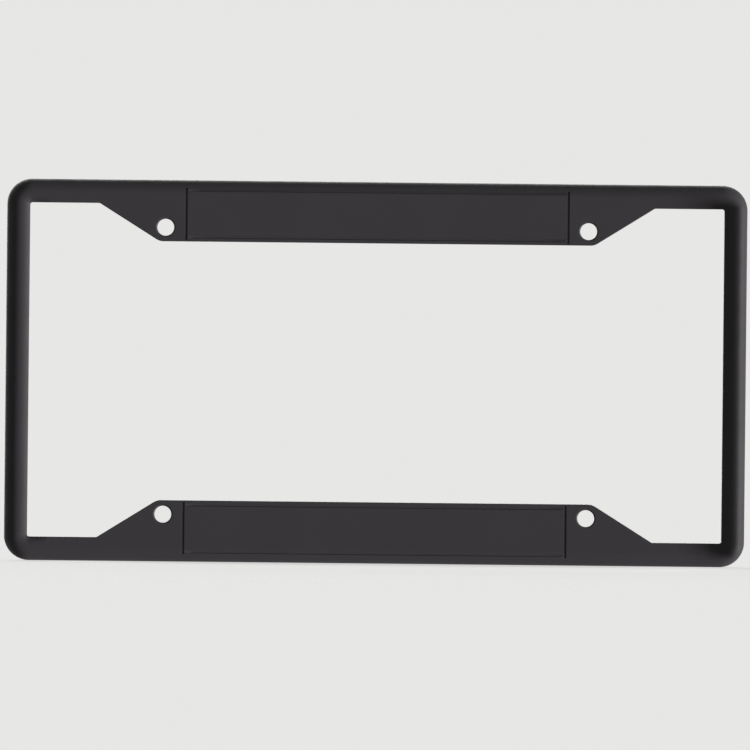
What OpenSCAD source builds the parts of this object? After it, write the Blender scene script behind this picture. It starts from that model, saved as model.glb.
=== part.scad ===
// Number plate frame for a plate of 304.8 by 152.4 mm, in one moulding.
// It stands upright: X is its width, Z is up and its face looks along -Y.
// The origin is the middle of the four screw holes, on the plane where the plate's face lies.

/* [Number plate] */
// Width of the plate that the frame holds
plate_w = 304.8; // [280:0.1:340]
// Height of the plate that the frame holds
plate_h = 152.4; // [150:0.1:170]
// Gap between the plate's edge and the skirt, on each side
plate_gap = 0.8; // [0.3:0.1:1.5]
// Distance between screw holes, across
hole_span_x = 177.8; // [150:0.1:200]
// Distance between screw holes, from the upper pair to the lower pair
hole_span_z = 120.65; // [112:0.05:128]

/* [Rim] */
// Thickness of the skirt at the two ends
skirt_end_t = 2.55; // [1.6:0.05:4]
// Thickness of the skirt along the top and the bottom
skirt_long_t = 3.25; // [1.6:0.05:4]
// Thickness of the face in front of the plate
face_t = 3.2; // [2.6:0.1:4.5]
// How far the skirt reaches behind the plate's face
skirt_depth = 5; // [4.2:0.1:8]
// Radius of the rim's rounded front edge
rim_r = 6; // [3:0.1:7]
// Radius of the frame's corners, seen from the front
corner_r = 10.5; // [8:0.1:20]

/* [Window] */
// Width of the bars at the two ends
bar_w = 9.8; // [8.5:0.1:14]
// How far the bar's rounded face falls from its crest to the window
bar_drop = 1.3; // [0.4:0.1:1.8]
// Width of the rails between the corners and the tabs
rail_w = 10; // [7:0.1:14]
// Distance from a screw hole's centre to the wide panel's inner edge
panel_edge = 5.9; // [5.2:0.1:9]
// Distance from a screw hole's centre to the tab's sloped edge
tab_edge = 6.35; // [6:0.05:9]
// Angle between the tab's sloped edge and the rail
tab_angle = 32; // [20:1:60]
// Radius of the tab's corner beside the screw hole
tab_r = 5.8; // [2:0.1:8]
// Radius of the window's four corners
win_r = 1; // [0.6:0.1:3]
// Length over which the bar's rounded inner edge runs out along the rail
runout = 8; // [3:0.5:18]

/* [Screw holes] */
// Diameter of the screw holes
hole_d = 7.1; // [5:0.1:8]
// Width of the bevel at the mouth of each screw hole
hole_bevel = 0.5; // [0.2:0.05:1]

/* [Panel groove] */
// Distance from a screw hole's centre to the groove's end line
field_end = 8.6; // [6.5:0.1:40]
// Distance from the panel's inner edge to the groove's centre line
field_lip = 1.9; // [1.4:0.1:3]
// Distance from the frame's outer edge to the groove's centre line
field_rim = 4.2; // [3.6:0.1:6]
// Width of the groove
groove_w = 1.4; // [0.8:0.1:2]
// Depth of the groove below the face
groove_d = 0.45; // [0.3:0.05:1.2]

/* [Hollows behind the panels] */
// Wall left between the groove and the hollows behind it
floor_t = 1.55; // [0.8:0.05:1.8]
// Width of the lip that is left along the panel's inner edge
core_lip = 2.6; // [1.5:0.1:5]
// Width of the seat that is left beside the skirt
core_seat = 3; // [2:0.1:6]
// Distance that the hollows keep from the screw holes' centres
core_boss = 8.5; // [6:0.1:14]
// Thickness of the ribs between the hollows
rib_t = 1.6; // [1:0.1:3]
// Number of hollows behind each panel
core_count = 8; // [2:1:14]

/* [Hidden] */
$fn = 96;
eps = 0.5;
arc_steps = 10;

// The skirt fits round the plate, so the outside follows from the plate.
pocket_w = plate_w + 2 * plate_gap;
pocket_h = plate_h + 2 * plate_gap;
outer_w = pocket_w + 2 * skirt_end_t;
outer_h = pocket_h + 2 * skirt_long_t;
front_y = -face_t;
back_y = skirt_depth;
// Depth at which the rounding leaves the side wall
round_y = front_y + rim_r;

win_x = outer_w / 2 - bar_w;
win_z = outer_h / 2 - rail_w;
crest_x = outer_w / 2 - rim_r;
// The bar's inner half is an arc that leaves the crest and has fallen bar_drop at the window.
bar_in = crest_x - win_x;
bar_r = (bar_in * bar_in + bar_drop * bar_drop) / (2 * bar_drop);
pocket_r = max(corner_r - skirt_end_t, 1);

hole_x = hole_span_x / 2;
hole_z = hole_span_z / 2;
panel_z = hole_z - panel_edge;
// Corner where the panel's inner edge turns up into the tab's sloped edge
tab_x = hole_x + (tab_edge - panel_edge * cos(tab_angle)) / sin(tab_angle);
tab_run = (win_z - panel_z) / tan(tab_angle);
// Length that the tab's rounding takes off each side of its corner
tab_cut = tab_r * tan(tab_angle / 2);

field_x = hole_x - field_end;
field_z0 = panel_z + field_lip;
field_z1 = outer_h / 2 - field_rim;
core_d = face_t - groove_d - floor_t;
core_z0 = panel_z + core_lip;
core_z1 = pocket_h / 2 - core_seat;
core_x = hole_x - core_boss;
core_pitch = (2 * core_x + rib_t) / core_count;

// Stands a flat drawing up as a slab, from the depth y0 back to the depth y1
module slab(y0, y1) {
    translate([0, y1, 0])
        rotate([90, 0, 0])
            linear_extrude(height = y1 - y0)
                children();
}

// Repeats a shape in the four corners by mirroring it
module four_ways() {
    for (a = [0, 1], b = [0, 1])
        mirror([a, 0, 0])
            mirror([0, 0, b])
                children();
}

module rounded_rect(w, h, r) {
    square([w - 2 * r, h], center = true);
    square([w, h - 2 * r], center = true);
    for (x = [-1, 1], z = [-1, 1])
        translate([x * (w / 2 - r), z * (h / 2 - r)])
            circle(r);
}

// Half of the section through the solid rim: distance from the middle, then depth
module half_section(reach) {
    translate([0, front_y])
        square([reach - rim_r, back_y - front_y]);
    translate([0, round_y])
        square([reach, back_y - round_y]);
    intersection() {
        translate([reach - rim_r, round_y])
            circle(rim_r);
        translate([0, front_y])
            square([reach, back_y - front_y]);
    }
}

module full_section(reach) {
    half_section(reach);
    mirror([1, 0])
        half_section(reach);
}

// The frame's outside, filled: two crossed lengths of the section and four turned corners
module blank() {
    straight_x = outer_w - 2 * corner_r;
    straight_z = outer_h - 2 * corner_r;
    translate([0, 0, -straight_z / 2])
        linear_extrude(height = straight_z)
            full_section(outer_w / 2);
    rotate([0, 90, 0])
        translate([0, 0, -straight_x / 2])
            linear_extrude(height = straight_x)
                full_section(outer_h / 2);
    for (x = [-1, 1], z = [-1, 1])
        translate([x * straight_x / 2, 0, z * straight_z / 2])
            rotate([-90, 0, 0])
                rotate_extrude()
                    half_section(corner_r);
}

// Points of the rounding where the panel's inner edge turns up into the tab's sloped edge
function tab_arc() = [
    for (i = [0 : arc_steps])
        let (a = tab_angle * i / arc_steps)
            [tab_x - tab_cut + tab_r * sin(a), panel_z + tab_r * (1 - cos(a))]
];

function flip(points) = [for (i = [len(points) - 1 : -1 : 0]) [-points[i][0], points[i][1]]];

// The upper panel with its two tabs, from its inner edge up into the rim
module panel_shape() {
    end_x = tab_x + tab_run;
    right = concat(tab_arc(), [[end_x, win_z], [end_x, outer_h / 2]]);
    polygon(concat(flip(right), right));
}

module window_shape() {
    difference() {
        rounded_rect(2 * win_x, 2 * win_z, win_r);
        panel_shape();
        mirror([0, 1])
            panel_shape();
    }
}

// What the bar's rounding takes off: distance out from the window's edge, then depth
module rounding_section() {
    difference() {
        translate([-eps, -eps])
            square([bar_in + eps, bar_drop + 2 * eps]);
        translate([bar_in, bar_r])
            circle(bar_r);
    }
}

module bar_rounding() {
    half = win_z - win_r;
    translate([win_x, front_y, -half])
        linear_extrude(height = 2 * half)
            rounding_section();
}

// Ramp on which the rounding runs out, tangent to the face: distance along the rail, then depth
module ramp_section() {
    deep = bar_drop + eps;
    ramp_r = (runout * runout + deep * deep) / (2 * deep);
    difference() {
        translate([-runout, -eps])
            square([runout, deep + 2 * eps]);
        translate([-runout, ramp_r])
            circle(ramp_r);
    }
}

// Carries the bar's rounding round one corner of the window, and runs it out along the rail
module corner_rounding() {
    turn_x = win_x - win_r;
    translate([turn_x, front_y, win_z - win_r])
        mirror([0, 0, 1])
            rotate([-90, 0, 0])
                rotate_extrude(angle = 90)
                    translate([win_r, 0])
                        rounding_section();
    intersection() {
        translate([turn_x, front_y, win_z])
            rotate([0, -90, 0])
                linear_extrude(height = runout + eps)
                    rounding_section();
        translate([turn_x, front_y, win_z - 2 * eps])
            linear_extrude(height = bar_in + 4 * eps)
                ramp_section();
    }
}

// The groove round the upper panel's field
module groove_shape() {
    mid = (field_z0 + field_z1) / 2;
    tall = field_z1 - field_z0;
    translate([0, mid])
        difference() {
            square([2 * field_x + groove_w, tall + groove_w], center = true);
            square([2 * field_x - groove_w, tall - groove_w], center = true);
        }
}

// The row of hollows behind the upper panel, with ribs between them
module core_shape() {
    for (i = [0 : core_count - 1])
        translate([-core_x + i * core_pitch, core_z0])
            square([core_pitch - rib_t, core_z1 - core_z0]);
}

module screw_hole() {
    rotate([-90, 0, 0]) {
        translate([0, 0, front_y - eps])
            cylinder(d = hole_d, h = back_y - front_y + 2 * eps);
        translate([0, 0, front_y - eps])
            cylinder(d1 = hole_d + 2 * (hole_bevel + eps), d2 = hole_d, h = hole_bevel + eps);
    }
}

module frame() {
    color("#39373a")
        difference() {
            blank();
            slab(front_y - eps, back_y + eps)
                window_shape();
            slab(0, back_y + eps)
                rounded_rect(pocket_w, pocket_h, pocket_r);
            for (a = [0, 1])
                mirror([a, 0, 0])
                    bar_rounding();
            for (b = [0, 1])
                mirror([0, 0, b]) {
                    slab(front_y - eps, front_y + groove_d)
                        groove_shape();
                    slab(-core_d, eps)
                        core_shape();
                }
            four_ways() {
                corner_rounding();
                translate([hole_x, 0, hole_z])
                    screw_hole();
            }
        }
}

frame();
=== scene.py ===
import math

import bpy
import numpy as np
from mathutils import Matrix, Vector
from mathutils.geometry import delaunay_2d_cdt


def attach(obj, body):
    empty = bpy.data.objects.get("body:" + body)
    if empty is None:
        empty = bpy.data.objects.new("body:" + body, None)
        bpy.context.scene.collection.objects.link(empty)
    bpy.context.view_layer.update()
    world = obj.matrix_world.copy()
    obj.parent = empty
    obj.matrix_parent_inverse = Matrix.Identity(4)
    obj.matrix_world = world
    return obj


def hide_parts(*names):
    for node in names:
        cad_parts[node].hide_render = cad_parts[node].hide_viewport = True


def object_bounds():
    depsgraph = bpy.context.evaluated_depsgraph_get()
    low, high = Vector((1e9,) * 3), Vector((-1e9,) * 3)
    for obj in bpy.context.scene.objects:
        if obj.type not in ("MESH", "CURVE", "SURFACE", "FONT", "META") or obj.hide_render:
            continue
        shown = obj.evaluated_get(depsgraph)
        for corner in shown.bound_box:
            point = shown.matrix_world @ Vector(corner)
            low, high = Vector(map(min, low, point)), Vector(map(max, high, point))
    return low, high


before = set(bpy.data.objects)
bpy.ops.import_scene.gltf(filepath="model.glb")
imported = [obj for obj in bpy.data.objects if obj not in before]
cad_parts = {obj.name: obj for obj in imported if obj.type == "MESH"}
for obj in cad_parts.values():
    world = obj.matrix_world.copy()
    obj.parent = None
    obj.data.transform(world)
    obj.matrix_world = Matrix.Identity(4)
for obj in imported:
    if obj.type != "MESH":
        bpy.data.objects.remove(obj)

CAD_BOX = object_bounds()

MM = 0.001

# The photograph: 750 pixels square, with the frame's middle and scale as the screw holes give them
IMAGE_PX = 750
PX_PER_MM = 2.379
MIDDLE_PX = (375.7, 372.9)
ROLL = math.radians(0.6)

# Camera: lens and sensor in millimetres, and how far it sees in metres
LENS = 600
SENSOR = 36
SIGHT = 50

# Light: the key comes from the right, far off the face's normal and a little from below
KEY_FROM = (0.92, -0.34, -0.17)
KEY_STRENGTH = 5.8
KEY_ANGLE = math.radians(14)
FILL_FROM = (-0.2, 0.92, 0.33)
FILL_STRENGTH = 2.8
FILL_ANGLE = math.radians(50)
AMBIENT = 0.13
WHITE = (1, 1, 1, 1)
BLACK = (0, 0, 0, 1)
PALE = (0.80, 0.80, 0.79, 1)

# The card beside the right bar that keeps the key off it, in millimetres
FLAG_X = 166
FLAG_Y0, FLAG_Y1 = -15, -7.5
FLAG_Z0, FLAG_Z1 = -80, 70

# The floor's disc: its radius in metres, and the distances from the middle where its fading begins and ends
FLOOR_R = 0.62
FLOOR_FADE = 0.30
FLOOR_END = FLOOR_R * 0.97
FLOOR_SIDES = 96
FLOOR_ALBEDO = 0.55

# The plastic's darkest and lightest tone, and the part of a noise's values that counts
TONE_DARK = (0.0362, 0.0334, 0.0364, 1)
TONE_LIGHT = (0.0474, 0.0438, 0.0476, 1)
SPECULAR = 0.12
NOISE_LOW, NOISE_HIGH = 0.3, 0.7
# Clouding and grain: how fine they are, and how far they take the tone from dark to light
CLOUD_SCALE, CLOUD_DETAIL, CLOUD_TONE = 28, 3, (0.1, 0.45)
GRAIN_SCALE, GRAIN_DETAIL, GRAIN_TONE = 2300, 2, (0.0, 0.4)
# Smudges set the roughness, and the grain adds to it
SMUDGE_SCALE, SMUDGE_DETAIL, SMUDGE_SOFT = 140, 4, 0.6
SMUDGE_ROUGH, GRAIN_ROUGH = (0.52, 0.62), (-0.03, 0.03)
# What a rubbed edge adds to the tone and to the roughness
EDGE_TONE, EDGE_ROUGH = 0.3, -0.1
# The grain's bump: its share, and its depth in metres
BUMP_SHARE, BUMP_DEPTH = 0.5, 0.00002

# The part's sizes in millimetres, as its source has them. X is the width, Z is up, and the face looks to -Y.
OUTER_X, OUTER_Z = 155.75, 80.25
FRONT_Y, BACK_Y = -3.2, 5.0
CORNER_R, RIM_R = 10.5, 6.0
WIN_X, WIN_Z, WIN_R = 145.95, 70.25, 1.0
POCKET_X, POCKET_Z, POCKET_R = 153.2, 77.0, 7.95
HOLE_X, HOLE_Z, HOLE_R, HOLE_BEVEL = 88.9, 60.325, 3.55, 0.5
PANEL_Z = 54.425
TAB_ANGLE, TAB_EDGE, TAB_R = math.radians(32), 6.35, 5.8
BAR_DROP, RUNOUT = 1.3, 8.0
BAR_IN = OUTER_X - RIM_R - WIN_X
BAR_R = (BAR_IN**2 + BAR_DROP**2) / (2 * BAR_DROP)
CORE_X, CORE_Z0, CORE_Z1, CORE_D = 80.4, 57.025, 74.0, 1.2
CORE_COUNT, RIB_T = 8, 1.6

# What the finished moulding has that the plain solid leaves out: the radii of its edges
EDGE_R = 0.4
BACK_R = 0.3
ROOT_R = 0.45
BEVEL_R = 0.35
TAB_END_R = 1.5
CORE_CORNER_R = 1.0
# Round marks of the ejector pins, in every other hollow
PIN_R, PIN_D, PIN_EDGE_R = 2.75, 0.15, 0.1

# The groove's centre lines and depth are the source's, and it is narrower. Its end lines run on past its
# long lines and are shallower. The long lines end before them, and rise to the face there.
GROOVE_X, GROOVE_Z0, GROOVE_Z1 = 80.3, 56.325, 76.05
GROOVE_D, GROOVE_W = 0.45, 1.1
GROOVE_END_Z0, GROOVE_END_Z1, GROOVE_END_D = 55.1, 76.95, 0.32
GROOVE_LAND, GROOVE_FADE = 0.35, 3.0
GROOVE_CORNER_R = 0.25
LONG_X = GROOVE_X - GROOVE_W / 2 - GROOVE_LAND
# Where its wall meets its floor and its mouth, measured out from the edge of its box
WALL_FOOT, WALL_MOUTH = -0.04, 0.015
# The upper panel's groove as four trenches: the two ends, then the two long lines. Each has its box, its
# depth, and the length over which it rises to the face at its ends.
TRENCHES = [
    (x - GROOVE_W / 2, GROOVE_END_Z0, x + GROOVE_W / 2, GROOVE_END_Z1, GROOVE_END_D, 0)
    for x in (-GROOVE_X, GROOVE_X)
] + [
    (-LONG_X, z - GROOVE_W / 2, LONG_X, z + GROOVE_W / 2, GROOVE_D, GROOVE_FADE)
    for z in (GROOVE_Z0, GROOVE_Z1)
]

# Fineness of the mesh: how far a chord may lie inside its arc, the fewest steps in a quarter turn, and the
# gaps between points along straights. The short gap is for where the bars' rounding runs out, beyond FINE_X.
CHORD_OFF = 0.004
FEW_TURNS = 4
LONG_GAP, SHORT_GAP = 8.0, 0.5
RUN_X = WIN_X - WIN_R - RUNOUT
FINE_X = RUN_X - SHORT_GAP
# Rows of points across the bars' rounding, across the groove's wall, and on the part of the rim's arc that
# is made as face
BAR_ROWS, GROOVE_ROWS, RIM_ROWS = 7, 4, 7
# A convex turn on less than this radius counts as an edge
SHARP_R = 1
# Any length that takes a profile's first and last straight past its turns
FAR = 20
# How much smaller a circle's four arcs are than its radius, so that none of its points coincide
CIRCLE_GAP = 1e-4
# Step over which the face's slope is measured
SLOPE_STEP = 5e-5
# Lengths and angles below this are rounding errors
TINY = 1e-6
# The triangulation's points are rounded to so many decimals, and those nearer than this are one
PLACES, MERGE_GAP = 5, 1e-5


def rounded(corners, closed=True):
    """A path through corners (u, v, radius), each turned on its radius.

    It gives each point with the direction to the right of travel, and how sharp it is, from 0 to 1."""
    n, out = len(corners), []
    for i in range(n) if closed else range(1, n - 1):
        (au, av, _), (bu, bv, r), (cu, cv, _) = (corners[k % n] for k in (i - 1, i, i + 1))
        a0, a1 = math.atan2(bv - av, bu - au), math.atan2(cv - bv, cu - bu)
        turn = (a1 - a0 + math.pi) % (2 * math.pi) - math.pi
        back, side = r * math.tan(abs(turn) / 2), math.copysign(r, turn)
        mu = bu - back * math.cos(a0) - side * math.sin(a0)
        mv = bv - back * math.sin(a0) + side * math.cos(a0)
        steps = 0
        if abs(turn) > TINY:
            few = math.ceil(FEW_TURNS * abs(turn) / (math.pi / 2))
            steps = max(few, math.ceil(abs(turn) / math.sqrt(8 * CHORD_OFF / r)))
        for k in range(steps + 1):
            t = k / steps if steps else 0
            a = a0 + turn * t
            ru, rv = math.sin(a), -math.cos(a)
            sharp = 4 * t * (1 - t) if turn > 0 and r < SHARP_R else 0
            out.append((mu + side * ru, mv + side * rv, ru, rv, sharp))
    return out


def spaced(path, fine_runouts=False):
    """The closed path with points added along its straights, closer where the bars' rounding runs out."""
    out = []
    for i, p in enumerate(path):
        q = path[(i + 1) % len(path)]
        out.append(p)
        fine = fine_runouts and abs(p[0] + q[0]) / 2 > FINE_X and p[1] == q[1]
        n = math.ceil(math.dist(p[:2], q[:2]) / (SHORT_GAP if fine else LONG_GAP))
        for k in range(1, n):
            t = k / n
            out.append((p[0] + (q[0] - p[0]) * t, p[1] + (q[1] - p[1]) * t, q[2], q[3], 0))
    return out


def rectangle(x0, z0, x1, z1, r):
    """A rectangle with rounded corners, counterclockwise from the front."""
    return rounded([(x1, z1, r), (x0, z1, r), (x0, z0, r), (x1, z0, r)])


def circle(x, z, r):
    return rectangle(x - r, z - r, x + r, z + r, r - CIRCLE_GAP)


def window_path():
    """The window's edge, counterclockwise from the front, with the two panels and their tabs let into it."""
    tab_x = HOLE_X + (TAB_EDGE - (HOLE_Z - PANEL_Z) * math.cos(TAB_ANGLE)) / math.sin(TAB_ANGLE)
    end_x = tab_x + (WIN_Z - PANEL_Z) / math.tan(TAB_ANGLE)
    quarter = [
        (WIN_X, WIN_Z, WIN_R),
        (FINE_X, WIN_Z, 0),
        (end_x, WIN_Z, TAB_END_R),
        (tab_x, PANEL_Z, TAB_R),
    ]
    upper = quarter + [(-x, z, r) for x, z, r in reversed(quarter)]
    lower = [(-x, -z, r) for x, z, r in upper]
    return spaced(rounded(upper + lower), fine_runouts=True)


def trench_path(x0, z0, x1, z1, fade):
    """The edge of a trench, with points where its long sides begin to rise."""
    half = [(x1, z1, GROOVE_CORNER_R), (x0, z1, GROOVE_CORNER_R)]
    if fade:
        half[1:1] = [(x1 - fade, z1, 0), (x0 + fade, z1, 0)]
    return spaced(rounded(half + [(x0 + x1 - x, z0 + z1 - z, r) for x, z, r in half]))


def beside(path, u):
    """The line at the distance u to the right of a path's points."""
    return [(x + u * nx, z + u * nz) for x, z, nx, nz, _ in path]


def beyond(x, z, half_x, half_z, r):
    """How far a point lies outside a rounded rectangle, less than 0 inside."""
    u, v = abs(x) - half_x + r, abs(z) - half_z + r
    return math.hypot(max(u, 0), max(v, 0)) + min(max(u, v), 0) - r


def dip(r, t):
    """How far an arc of radius r has fallen at the distance t from its crest."""
    return r - math.sqrt(max(r * r - t * t, 0)) if t > 0 else 0


def ease(t):
    """Smooth step from 0 to 1."""
    t = min(max(t, 0), 1)
    return t * t * (3 - 2 * t)


def face_y(x, z):
    """Depth of the front face, with the rim's round edge, the bars' fall to the window and the grooves."""
    rim = dip(RIM_R, RIM_R + beyond(x, z, OUTER_X, OUTER_Z, CORNER_R))
    fall = dip(BAR_R, BAR_IN - beyond(x, z, WIN_X, WIN_Z, WIN_R))
    bar = fall * ease((abs(x) - RUN_X) / RUNOUT)
    groove = 0
    for x0, z0, x1, z1, deep, fade in TRENCHES:
        u, v = x - (x0 + x1) / 2, abs(z) - (z0 + z1) / 2
        off = beyond(u, v, (x1 - x0) / 2, (z1 - z0) / 2, GROOVE_CORNER_R)
        if fade:
            deep *= min(max(x1 - abs(x), 0) / fade, 1)
        groove = max(groove, deep * ease((WALL_MOUTH - off) / (WALL_MOUTH - WALL_FOOT)))
    return FRONT_Y + rim + bar + groove


def face_slope(x, z):
    """How fast the face's depth grows with x and with z."""
    h = SLOPE_STEP
    gx = (face_y(x + h, z) - face_y(x - h, z)) / (2 * h)
    gz = (face_y(x, z + h) - face_y(x, z - h)) / (2 * h)
    return gx, gz


class Skin:
    """A closed surface of strips along closed paths and of fills between them."""

    def __init__(self):
        self.co, self.no, self.sharp, self.faces = [], [], [], []

    def add(self, co, no, sharp=0.0):
        self.co.append(co)
        self.no.append(Vector(no).normalized())
        self.sharp.append(sharp)
        return len(self.co) - 1

    def face_point(self, x, z):
        gx, gz = face_slope(x, z)
        return self.add((x, face_y(x, z), z), (gx, -1, gz))

    def band(self, rows):
        """Quads between rows along a closed path. The material is to the left of the order of the rows."""
        for a, b in zip(rows, rows[1:]):
            for i in range(len(a)):
                j = (i + 1) % len(a)
                self.faces.append((a[i], b[i], b[j], a[j]))

    def strip(self, path, profile):
        """The profile carried along a closed path. Gives its first and its last row.

        The profile's u is the distance to the right of the path, and its v is the depth."""
        rows = [
            [self.add((x + u * nx, v, z + u * nz), (ru * nx, rv, ru * nz), s) for x, z, nx, nz, _ in path]
            for u, v, ru, rv, s in profile
        ]
        self.band(rows)
        return rows[0], rows[-1]

    def fill(self, loops, back=False, lines=(), point=None):
        """Triangles over what the loops enclose, counted odd and even, which look to -Y, or with back to +Y.

        They also follow the extra lines, and point makes each new point that a line brings."""
        index = [i for loop in loops for i in loop]
        flat = [Vector((round(self.co[i][0], PLACES), round(self.co[i][2], PLACES))) for i in index]
        edges, at = [], 0
        for loop in loops:
            edges += [(at + k, at + (k + 1) % len(loop)) for k in range(len(loop))]
            at += len(loop)
        for line in lines:
            start = len(flat)
            flat += [Vector((round(x, PLACES), round(z, PLACES))) for x, z in line]
            edges += [(start + k, start + k + 1) for k in range(len(line) - 1)]
        verts, _, tris, origin, _, _ = delaunay_2d_cdt(flat, edges, [], 0, MERGE_GAP, True)
        known = {}
        for k, sources in enumerate(origin):
            kept = [s for s in sources if s < len(index)]
            if kept:
                known[k] = index[kept[0]]
        tris = np.array(tris)
        xz = np.array([tuple(v) for v in verts])
        middle = xz[tris].mean(axis=1)
        inside = np.zeros(len(tris), int)
        for loop in loops:
            ring = np.array([(self.co[i][0], self.co[i][2]) for i in loop])
            for (ax, az), (bx, bz) in zip(ring, np.roll(ring, -1, axis=0)):
                if az != bz:
                    crosses = (middle[:, 1] > az) != (middle[:, 1] > bz)
                    at_x = ax + (middle[:, 1] - az) * (bx - ax) / (bz - az)
                    inside += crosses & (at_x > middle[:, 0])
        for tri in tris[inside % 2 == 1]:
            face = []
            for k in tri:
                if k not in known:
                    known[k] = point(*xz[k])
                face.append(known[k])
            self.faces.append(tuple(reversed(face)) if back else tuple(face))


def add_window_edge(skin, path, wall):
    """The window's front edge, from the wall's last row on. Gives its row on the face.

    It is level with the face where it leaves it, however deep and steep the face is there."""
    steps = FEW_TURNS + 1
    rows = [[] for _ in range(steps + 1)]
    for x, z, nx, nz, _ in path:
        px, pz = x + EDGE_R * nx, z + EDGE_R * nz
        gx, gz = face_slope(px, pz)
        along = gx * -nz + gz * nx
        tilt = max(math.atan(-(gx * nx + gz * nz)), 0)
        r = EDGE_R / (1 - math.sin(tilt))
        for k in range(steps):
            a = math.pi / 2 + (tilt - math.pi / 2) * k / steps
            sin_a, cos_a = math.sin(a), math.cos(a)
            u, y = r * (1 - sin_a), face_y(px, pz) + r * (math.cos(tilt) - cos_a)
            normal = (-nx * sin_a - nz * along * cos_a, -cos_a, -nz * sin_a + nx * along * cos_a)
            t = k / steps
            rows[k].append(skin.add((x + u * nx, y, z + u * nz), normal, 4 * t * (1 - t)))
        rows[steps].append(skin.face_point(px, pz))
    skin.band([wall] + rows)
    return rows[-1]


def add_screw_holes(skin):
    """The four bevelled screw holes. Gives their edges on the face, and on the plate's seat."""
    bevel = [(0, FRONT_Y + HOLE_BEVEL, BEVEL_R), (HOLE_BEVEL, FRONT_Y, BEVEL_R)]
    profile = rounded([(FAR, 0, 0), (0, 0, BACK_R)] + bevel + [(FAR, FRONT_Y, 0)], False)
    front, back = [], []
    for sx in (-1, 1):
        for sz in (-1, 1):
            first, last = skin.strip(circle(sx * HOLE_X, sz * HOLE_Z, HOLE_R), profile)
            back.append(first)
            front.append(last)
    return front, back


def add_hollows(skin):
    """The hollows behind the panels, with the pins' marks in them. Gives their edges on the plate's seat."""
    pitch = (2 * CORE_X + RIB_T) / CORE_COUNT
    wall = rounded([(FAR, 0, 0), (0, 0, BACK_R), (0, -CORE_D, ROOT_R), (-FAR, -CORE_D, 0)], False)
    mark_y = -CORE_D - PIN_D
    corners = [(FAR, -CORE_D, 0), (0, -CORE_D, PIN_EDGE_R), (-PIN_D, mark_y, PIN_EDGE_R), (-FAR, mark_y, 0)]
    mark = rounded(corners, False)
    mouths = []
    for sz in (-1, 1):
        z0, z1 = sorted((sz * CORE_Z0, sz * CORE_Z1))
        for i in range(CORE_COUNT):
            x0 = -CORE_X + i * pitch
            path = spaced(rectangle(x0, z0, x0 + pitch - RIB_T, z1, CORE_CORNER_R))
            mouth, bottom = skin.strip(path, wall)
            mouths.append(mouth)
            if i % 2:
                middle = circle(x0 + (pitch - RIB_T) / 2, (z0 + z1) / 2, PIN_R)
                rim, base = skin.strip(middle, mark)
                skin.fill([base], back=True)
                skin.fill([bottom, rim], back=True)
            else:
                skin.fill([bottom], back=True)
    return mouths


def face_lines(outer, rim, window):
    """Lines on the face where it curves: along the rim's rows, the grooves' walls and the bars."""
    rings = [beside(outer, row[0]) for row in rim]
    for sz in (-1, 1):
        for x0, low, x1, high, _, fade in TRENCHES:
            z0, z1 = sorted((sz * low, sz * high))
            path = trench_path(x0, z0, x1, z1, fade)
            for k in range(GROOVE_ROWS + 1):
                rings.append(beside(path, WALL_FOOT + (WALL_MOUTH - WALL_FOOT) * k / GROOVE_ROWS))
    lines = [ring + ring[:1] for ring in rings]
    for sx in (-1, 1):
        # The window's points beside one bar, from one run-out to the other
        run = [p for p in window if sx * p[0] > FINE_X - TINY]
        gaps = [math.dist(a[:2], b[:2]) for a, b in zip(run, run[1:])]
        start = next((i + 1 for i, gap in enumerate(gaps) if gap > 2 * LONG_GAP), 0)
        run = run[start:] + run[:start]
        grid = [beside(run, EDGE_R + (BAR_IN - EDGE_R) * k / BAR_ROWS) for k in range(1, BAR_ROWS + 1)]
        lines += grid
        lines += [list(column) for column in zip(beside(run, EDGE_R), *grid)]
    return lines


def make_moulding():
    """The whole frame as one closed skin."""
    skin = Skin()
    outer = spaced(rectangle(-OUTER_X, -OUTER_Z, OUTER_X, OUTER_Z, CORNER_R))
    pocket = spaced(rectangle(-POCKET_X, -POCKET_Z, POCKET_X, POCKET_Z, POCKET_R))
    window = window_path()

    # The outside, from the rim's arc back to the skirt's edge
    corners = [(-FAR, FRONT_Y, 0), (0, FRONT_Y, RIM_R), (0, BACK_Y, BACK_R), (-FAR, BACK_Y, 0)]
    profile = rounded(corners, False)
    rim, profile = profile[:RIM_ROWS], profile[RIM_ROWS:]
    face_out, skirt_out = skin.strip(outer, profile)

    # The pocket for the plate, from the skirt's edge to the plate's seat
    profile = rounded([(FAR, BACK_Y, 0), (0, BACK_Y, BACK_R), (0, 0, ROOT_R), (-FAR, 0, 0)], False)
    skirt_in, seat_out = skin.strip(pocket, profile)
    skin.fill([skirt_out, skirt_in], back=True)

    # The window, from the plate's seat to the face
    seat_in, wall = skin.strip(window, rounded([(FAR, 0, 0), (0, 0, BACK_R), (0, -FAR, 0)], False))
    face_in = add_window_edge(skin, window, wall)

    front_holes, back_holes = add_screw_holes(skin)
    hollows = add_hollows(skin)
    skin.fill([seat_out, seat_in] + back_holes + hollows, back=True)
    lines = face_lines(outer, rim, window)
    skin.fill([face_out, face_in] + front_holes, lines=lines, point=skin.face_point)
    return skin


def new_nodes(owner):
    owner.use_nodes = True
    owner.node_tree.nodes.clear()
    return owner.node_tree.nodes, owner.node_tree.links


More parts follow.
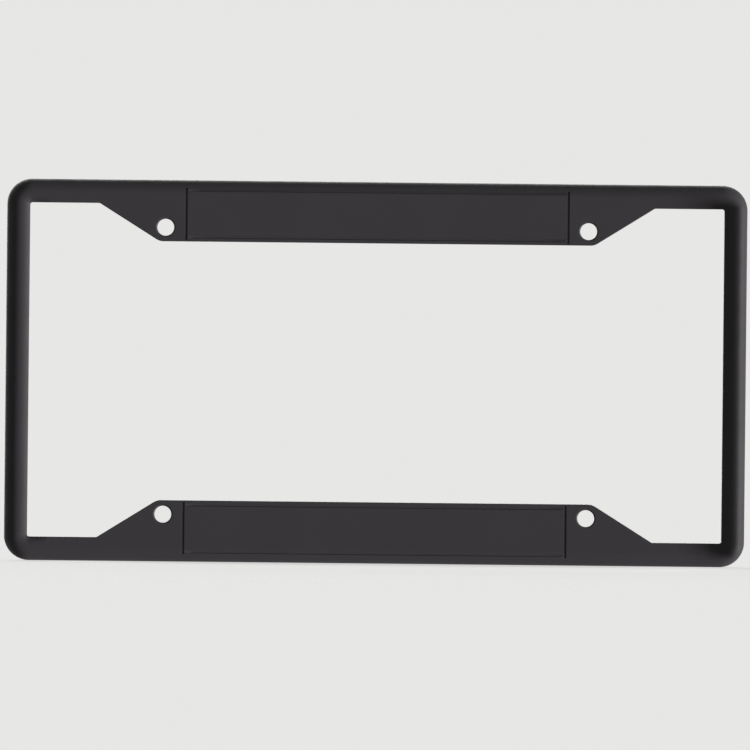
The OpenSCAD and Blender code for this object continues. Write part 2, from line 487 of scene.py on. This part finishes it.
def make_camera():
    """Looks along +Y at the frame, turned and placed as in the photograph."""
    data = bpy.data.cameras.new("camera")
    data.lens, data.sensor_width = LENS, SENSOR
    data.clip_end = SIGHT
    cam = bpy.data.objects.new("camera", data)
    bpy.context.scene.collection.objects.link(cam)
    right = Vector((math.cos(ROLL), 0, math.sin(ROLL)))
    back = Vector((0, -1, 0))
    up = back.cross(right)
    width = IMAGE_PX / PX_PER_MM * MM
    distance = width * LENS / SENSOR
    shift_right = (IMAGE_PX / 2 - MIDDLE_PX[0]) / PX_PER_MM * MM
    shift_up = -(IMAGE_PX / 2 - MIDDLE_PX[1]) / PX_PER_MM * MM
    front = Vector((0, CAD_BOX[0].y, 0))
    place = front + back * distance + right * shift_right + up * shift_up
    cam.matrix_world = Matrix(
        (
            (right.x, up.x, back.x, place.x),
            (right.y, up.y, back.y, place.y),
            (right.z, up.z, back.z, place.z),
            (0, 0, 0, 1),
        )
    )
    bpy.context.scene.camera = cam


def seen_directly(nodes, links):
    """1 for what the camera sees, straight, in a reflection or through glass, and 0 for light elsewhere."""
    path = nodes.new("ShaderNodeLightPath")
    value = path.outputs["Is Camera Ray"]
    for name in ("Is Glossy Ray", "Is Transmission Ray"):
        most = nodes.new("ShaderNodeMath")
        most.operation = "MAXIMUM"
        links.new(value, most.inputs[0])
        links.new(path.outputs[name], most.inputs[1])
        value = most.outputs[0]
    return value


def make_world():
    """A weak white light from all round, and a pale background behind the frame."""
    world = bpy.data.worlds.new("studio")
    bpy.context.scene.world = world
    nodes, links = new_nodes(world)
    out = nodes.new("ShaderNodeOutputWorld")
    mix = nodes.new("ShaderNodeMixShader")
    ambient = nodes.new("ShaderNodeBackground")
    ambient.inputs["Color"].default_value = WHITE
    ambient.inputs["Strength"].default_value = AMBIENT
    pale = nodes.new("ShaderNodeBackground")
    pale.inputs["Color"].default_value = PALE
    pale.inputs["Strength"].default_value = 1
    links.new(seen_directly(nodes, links), mix.inputs[0])
    links.new(ambient.outputs[0], mix.inputs[1])
    links.new(pale.outputs[0], mix.inputs[2])
    links.new(mix.outputs[0], out.inputs[0])


def make_sun(name, come_from, strength, angle):
    data = bpy.data.lights.new(name, "SUN")
    data.energy, data.angle = strength, angle
    sun = bpy.data.objects.new(name, data)
    bpy.context.scene.collection.objects.link(sun)
    sun.rotation_mode = "QUATERNION"
    sun.rotation_quaternion = Vector(come_from).to_track_quat("Z", "Y")
    sun.location = Vector(come_from)


def make_floor():
    """A pale disc under the frame. It keeps the frame's soft shadow, and fades into the world round it."""
    z, n = CAD_BOX[0].z, FLOOR_SIDES
    me = bpy.data.meshes.new("floor")
    angles = [2 * math.pi * i / n for i in range(n)]
    ring = [(FLOOR_R * math.cos(a), FLOOR_R * math.sin(a), z) for a in angles]
    me.from_pydata(ring, [], [list(range(n))])
    floor = bpy.data.objects.new("floor", me)
    bpy.context.scene.collection.objects.link(floor)
    mat = bpy.data.materials.new("floor")
    nodes, links = new_nodes(mat)
    out = nodes.new("ShaderNodeOutputMaterial")
    diffuse = nodes.new("ShaderNodeBsdfDiffuse")
    diffuse.inputs["Color"].default_value = (FLOOR_ALBEDO, FLOOR_ALBEDO, FLOOR_ALBEDO, 1)
    glow = nodes.new("ShaderNodeEmission")
    glow.inputs["Color"].default_value = PALE
    # The glow makes up what the lit disc lacks to look as pale as the world
    lit = FLOOR_ALBEDO * (AMBIENT + FILL_STRENGTH * Vector(FILL_FROM).normalized().z / math.pi)
    strength = nodes.new("ShaderNodeMath")
    strength.operation = "MULTIPLY"
    links.new(seen_directly(nodes, links), strength.inputs[0])
    strength.inputs[1].default_value = 1 - lit / PALE[0]
    links.new(strength.outputs[0], glow.inputs["Strength"])
    both = nodes.new("ShaderNodeAddShader")
    links.new(diffuse.outputs[0], both.inputs[0])
    links.new(glow.outputs[0], both.inputs[1])
    clear = nodes.new("ShaderNodeBsdfTransparent")
    place = nodes.new("ShaderNodeTexCoord")
    flat = nodes.new("ShaderNodeVectorMath")
    flat.operation = "MULTIPLY"
    flat.inputs[1].default_value = (1, 1, 0)
    links.new(place.outputs["Object"], flat.inputs[0])
    length = nodes.new("ShaderNodeVectorMath")
    length.operation = "LENGTH"
    links.new(flat.outputs[0], length.inputs[0])
    fade = nodes.new("ShaderNodeMapRange")
    fade.interpolation_type = "SMOOTHERSTEP"
    fade.inputs["From Min"].default_value = FLOOR_FADE
    fade.inputs["From Max"].default_value = FLOOR_END
    links.new(length.outputs["Value"], fade.inputs["Value"])
    mix = nodes.new("ShaderNodeMixShader")
    links.new(fade.outputs[0], mix.inputs[0])
    links.new(both.outputs[0], mix.inputs[1])
    links.new(clear.outputs[0], mix.inputs[2])
    links.new(mix.outputs[0], out.inputs[0])
    me.materials.append(mat)
    floor.visible_shadow = False
    floor.visible_diffuse = False


def make_flag():
    """A black card that keeps the key off the right bar, as the photograph shows. Only its shadow shows."""
    me = bpy.data.meshes.new("light_flag")
    corners = [(FLAG_Y0, FLAG_Z0), (FLAG_Y1, FLAG_Z0), (FLAG_Y1, FLAG_Z1), (FLAG_Y0, FLAG_Z1)]
    me.from_pydata([(FLAG_X * MM, y * MM, z * MM) for y, z in corners], [], [(0, 1, 2, 3)])
    flag = bpy.data.objects.new("light_flag", me)
    bpy.context.scene.collection.objects.link(flag)
    flag.visible_camera = flag.visible_diffuse = flag.visible_glossy = flag.visible_transmission = False
    mat = bpy.data.materials.new("light_flag")
    nodes, links = new_nodes(mat)
    out = nodes.new("ShaderNodeOutputMaterial")
    diffuse = nodes.new("ShaderNodeBsdfDiffuse")
    diffuse.inputs["Color"].default_value = BLACK
    links.new(diffuse.outputs[0], out.inputs[0])
    me.materials.append(mat)


def plastic():
    """Satin black moulded plastic: a fine grain, faint clouding, and edges rubbed a little smoother."""
    mat = bpy.data.materials.new("satin_black_plastic")
    nodes, links = new_nodes(mat)
    out = nodes.new("ShaderNodeOutputMaterial")
    bsdf = nodes.new("ShaderNodeBsdfPrincipled")
    bsdf.inputs["Specular IOR Level"].default_value = SPECULAR
    links.new(bsdf.outputs[0], out.inputs[0])
    place = nodes.new("ShaderNodeTexCoord").outputs["Object"]

    def noise(scale, detail, rough=0.5):
        tex = nodes.new("ShaderNodeTexNoise")
        tex.inputs["Scale"].default_value = scale
        tex.inputs["Detail"].default_value = detail
        tex.inputs["Roughness"].default_value = rough
        links.new(place, tex.inputs["Vector"])
        return tex.outputs["Fac"]

    def math_node(operation, a, b, c=None):
        node = nodes.new("ShaderNodeMath")
        node.operation = operation
        for socket, value in zip(node.inputs, (a, b, c)):
            if isinstance(value, (int, float)):
                socket.default_value = value
            elif value is not None:
                links.new(value, socket)
        return node.outputs[0]

    def spread(value, to):
        node = nodes.new("ShaderNodeMapRange")
        links.new(value, node.inputs["Value"])
        node.inputs["From Min"].default_value = NOISE_LOW
        node.inputs["From Max"].default_value = NOISE_HIGH
        node.inputs["To Min"].default_value = to[0]
        node.inputs["To Max"].default_value = to[1]
        return node.outputs[0]

    cloud = noise(CLOUD_SCALE, CLOUD_DETAIL)
    smudge = noise(SMUDGE_SCALE, SMUDGE_DETAIL, SMUDGE_SOFT)
    grain = noise(GRAIN_SCALE, GRAIN_DETAIL)
    attribute = nodes.new("ShaderNodeAttribute")
    attribute.attribute_name = "edge"
    edge = attribute.outputs["Fac"]

    tone = nodes.new("ShaderNodeMix")
    tone.data_type = "RGBA"
    tone.inputs["A"].default_value = TONE_DARK
    tone.inputs["B"].default_value = TONE_LIGHT
    amount = math_node("ADD", spread(cloud, CLOUD_TONE), spread(grain, GRAIN_TONE))
    amount = math_node("MULTIPLY_ADD", edge, EDGE_TONE, amount)
    links.new(amount, tone.inputs["Factor"])
    links.new(tone.outputs["Result"], bsdf.inputs["Base Color"])

    rough = math_node("ADD", spread(smudge, SMUDGE_ROUGH), spread(grain, GRAIN_ROUGH))
    rough = math_node("MULTIPLY_ADD", edge, EDGE_ROUGH, rough)
    links.new(rough, bsdf.inputs["Roughness"])

    bump = nodes.new("ShaderNodeBump")
    bump.inputs["Strength"].default_value = BUMP_SHARE
    bump.inputs["Distance"].default_value = BUMP_DEPTH
    links.new(grain, bump.inputs["Height"])
    links.new(bump.outputs[0], bsdf.inputs["Normal"])
    return mat


def make_frame():
    """The moulding as a Blender object, with its normals, its edges' attribute and its plastic."""
    skin = make_moulding()
    me = bpy.data.meshes.new("frame_moulding")
    me.from_pydata([(x * MM, y * MM, z * MM) for x, y, z in skin.co], [], skin.faces)
    me.shade_smooth()
    me.normals_split_custom_set_from_vertices(skin.no)
    edge = me.attributes.new("edge", "FLOAT", "POINT")
    edge.data.foreach_set("value", np.array(skin.sharp, np.float32))
    me.materials.append(plastic())
    piece = bpy.data.objects.new("frame_moulding", me)
    bpy.context.scene.collection.objects.link(piece)
    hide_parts("frame")
    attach(piece, "root")


make_camera()
make_world()
make_sun("key", KEY_FROM, KEY_STRENGTH, KEY_ANGLE)
make_sun("fill", FILL_FROM, FILL_STRENGTH, FILL_ANGLE)
make_floor()
make_flag()
make_frame()

bpy.context.scene.view_settings.view_transform = "Standard"
